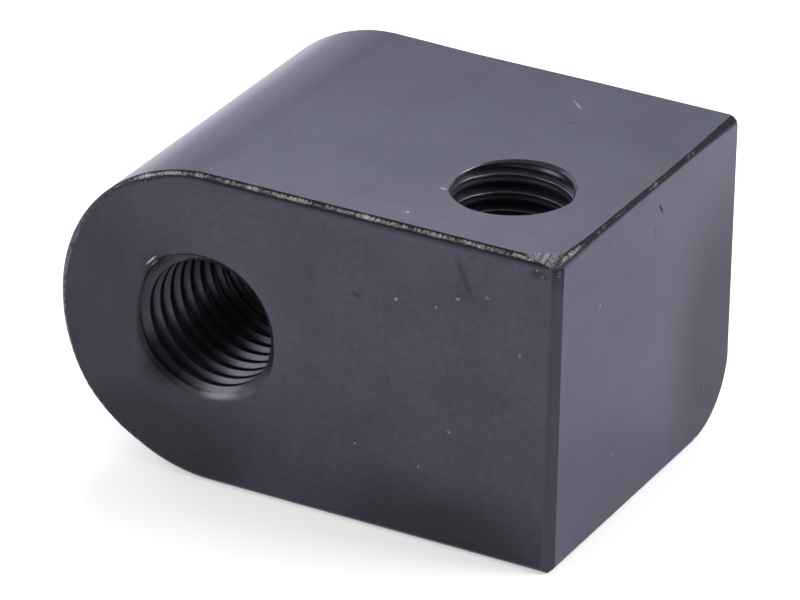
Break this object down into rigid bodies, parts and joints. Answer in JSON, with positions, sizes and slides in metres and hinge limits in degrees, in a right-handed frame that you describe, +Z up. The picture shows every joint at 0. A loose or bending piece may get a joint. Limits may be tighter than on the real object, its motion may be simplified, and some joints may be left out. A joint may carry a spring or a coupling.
{
  "type": "idler pulley adjusting bar",
  "caption": "Short blackened steel bar with a full-round nose, threaded across the nose for an idler pulley's axle and threaded from top to bottom near its flat end for an adjuster bolt.",
  "frame": {"origin": "on the axis of the axle hole, halfway across the bar's width", "axes": "+X from the axle hole to the flat end, +Y along the axle hole from the front face to the rear face, +Z up along the adjuster hole"},
  "size_m": [0.056, 0.04, 0.034],
  "materials": {
    "blackened_steel": "satin blue-black coat over steel, worn to bare metal along the upper edges"
  },
  "bodies": {
    "root": {"adjusting_bar": "blackened_steel"}
  },
  "joints": []
}
